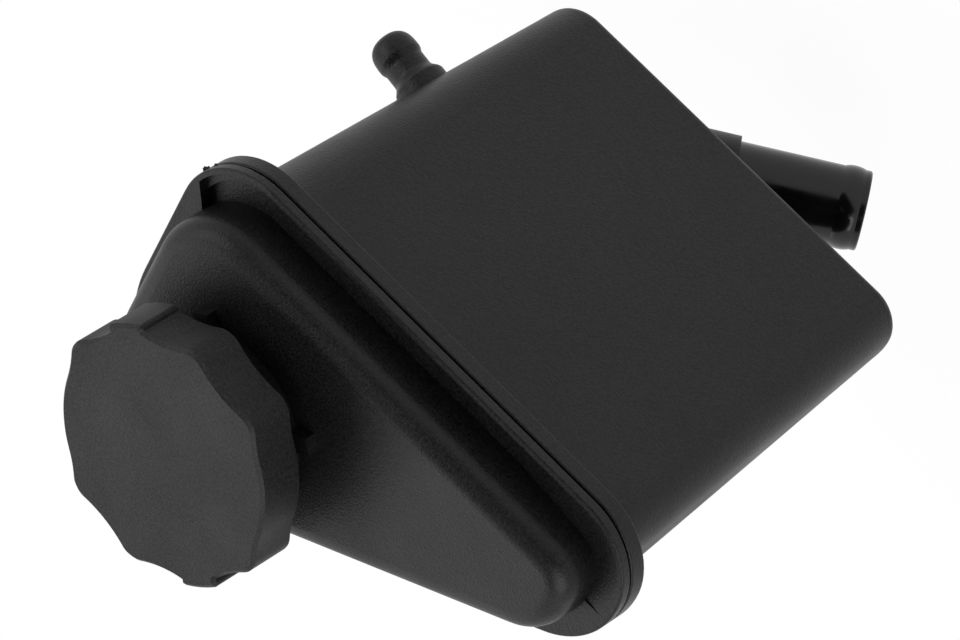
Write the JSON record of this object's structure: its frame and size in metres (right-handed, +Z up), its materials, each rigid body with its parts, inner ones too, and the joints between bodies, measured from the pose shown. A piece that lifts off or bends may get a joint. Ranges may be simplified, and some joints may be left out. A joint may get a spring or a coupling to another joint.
{
  "type": "power steering reservoir",
  "caption": "Black moulded power steering fluid reservoir with a fluted screw cap and dipstick, a bottom suction pipe and a side return nipple.",
  "frame": {"origin": "underside of the welding flange, in the middle of the strip along its straight front edge", "axes": "+X to the wide end and the return nipple, -Y to the flat front, +Z up through the filler neck"},
  "size_m": [0.1376, 0.0784, 0.179],
  "materials": {
    "shell_plastic": "satin",
    "cap_plastic": "satin",
    "pipe_plastic": "gloss",
    "inner_plastic": "satin",
    "gasket_rubber": "matte",
    "steel_mesh": "satin"
  },
  "bodies": {
    "tank": {"reservoir_body": "shell_plastic", "reservoir_cover": "shell_plastic", "suction_pipe": "pipe_plastic", "strainer_frame": "inner_plastic", "strainer_mesh": "steel_mesh", "baffle_plate": "inner_plastic", "return_diffuser": "inner_plastic"},
    "cap_core": {"cap_insert": "cap_plastic", "cap_gasket": "gasket_rubber", "vent_valve": "gasket_rubber", "dipstick": "inner_plastic"},
    "cap": {"cap_shell": "cap_plastic"}
  },
  "joints": [
    {"name": "cap_lift", "type": "slide", "parent": "tank", "child": "cap_core", "axis": [0, 0, 1], "range_m": [0, 0.00375]},
    {"name": "cap_turn", "type": "hinge", "parent": "cap_core", "child": "cap", "pos_m": [0.0278, 0.04441, 0.0351], "axis": [0, 0, 1], "range_deg": [0, 450]}
  ],
  "couplings": [
    {"joint": "cap_turn", "follows": "cap_lift", "rad_per_m": 2094.4}
  ]
}
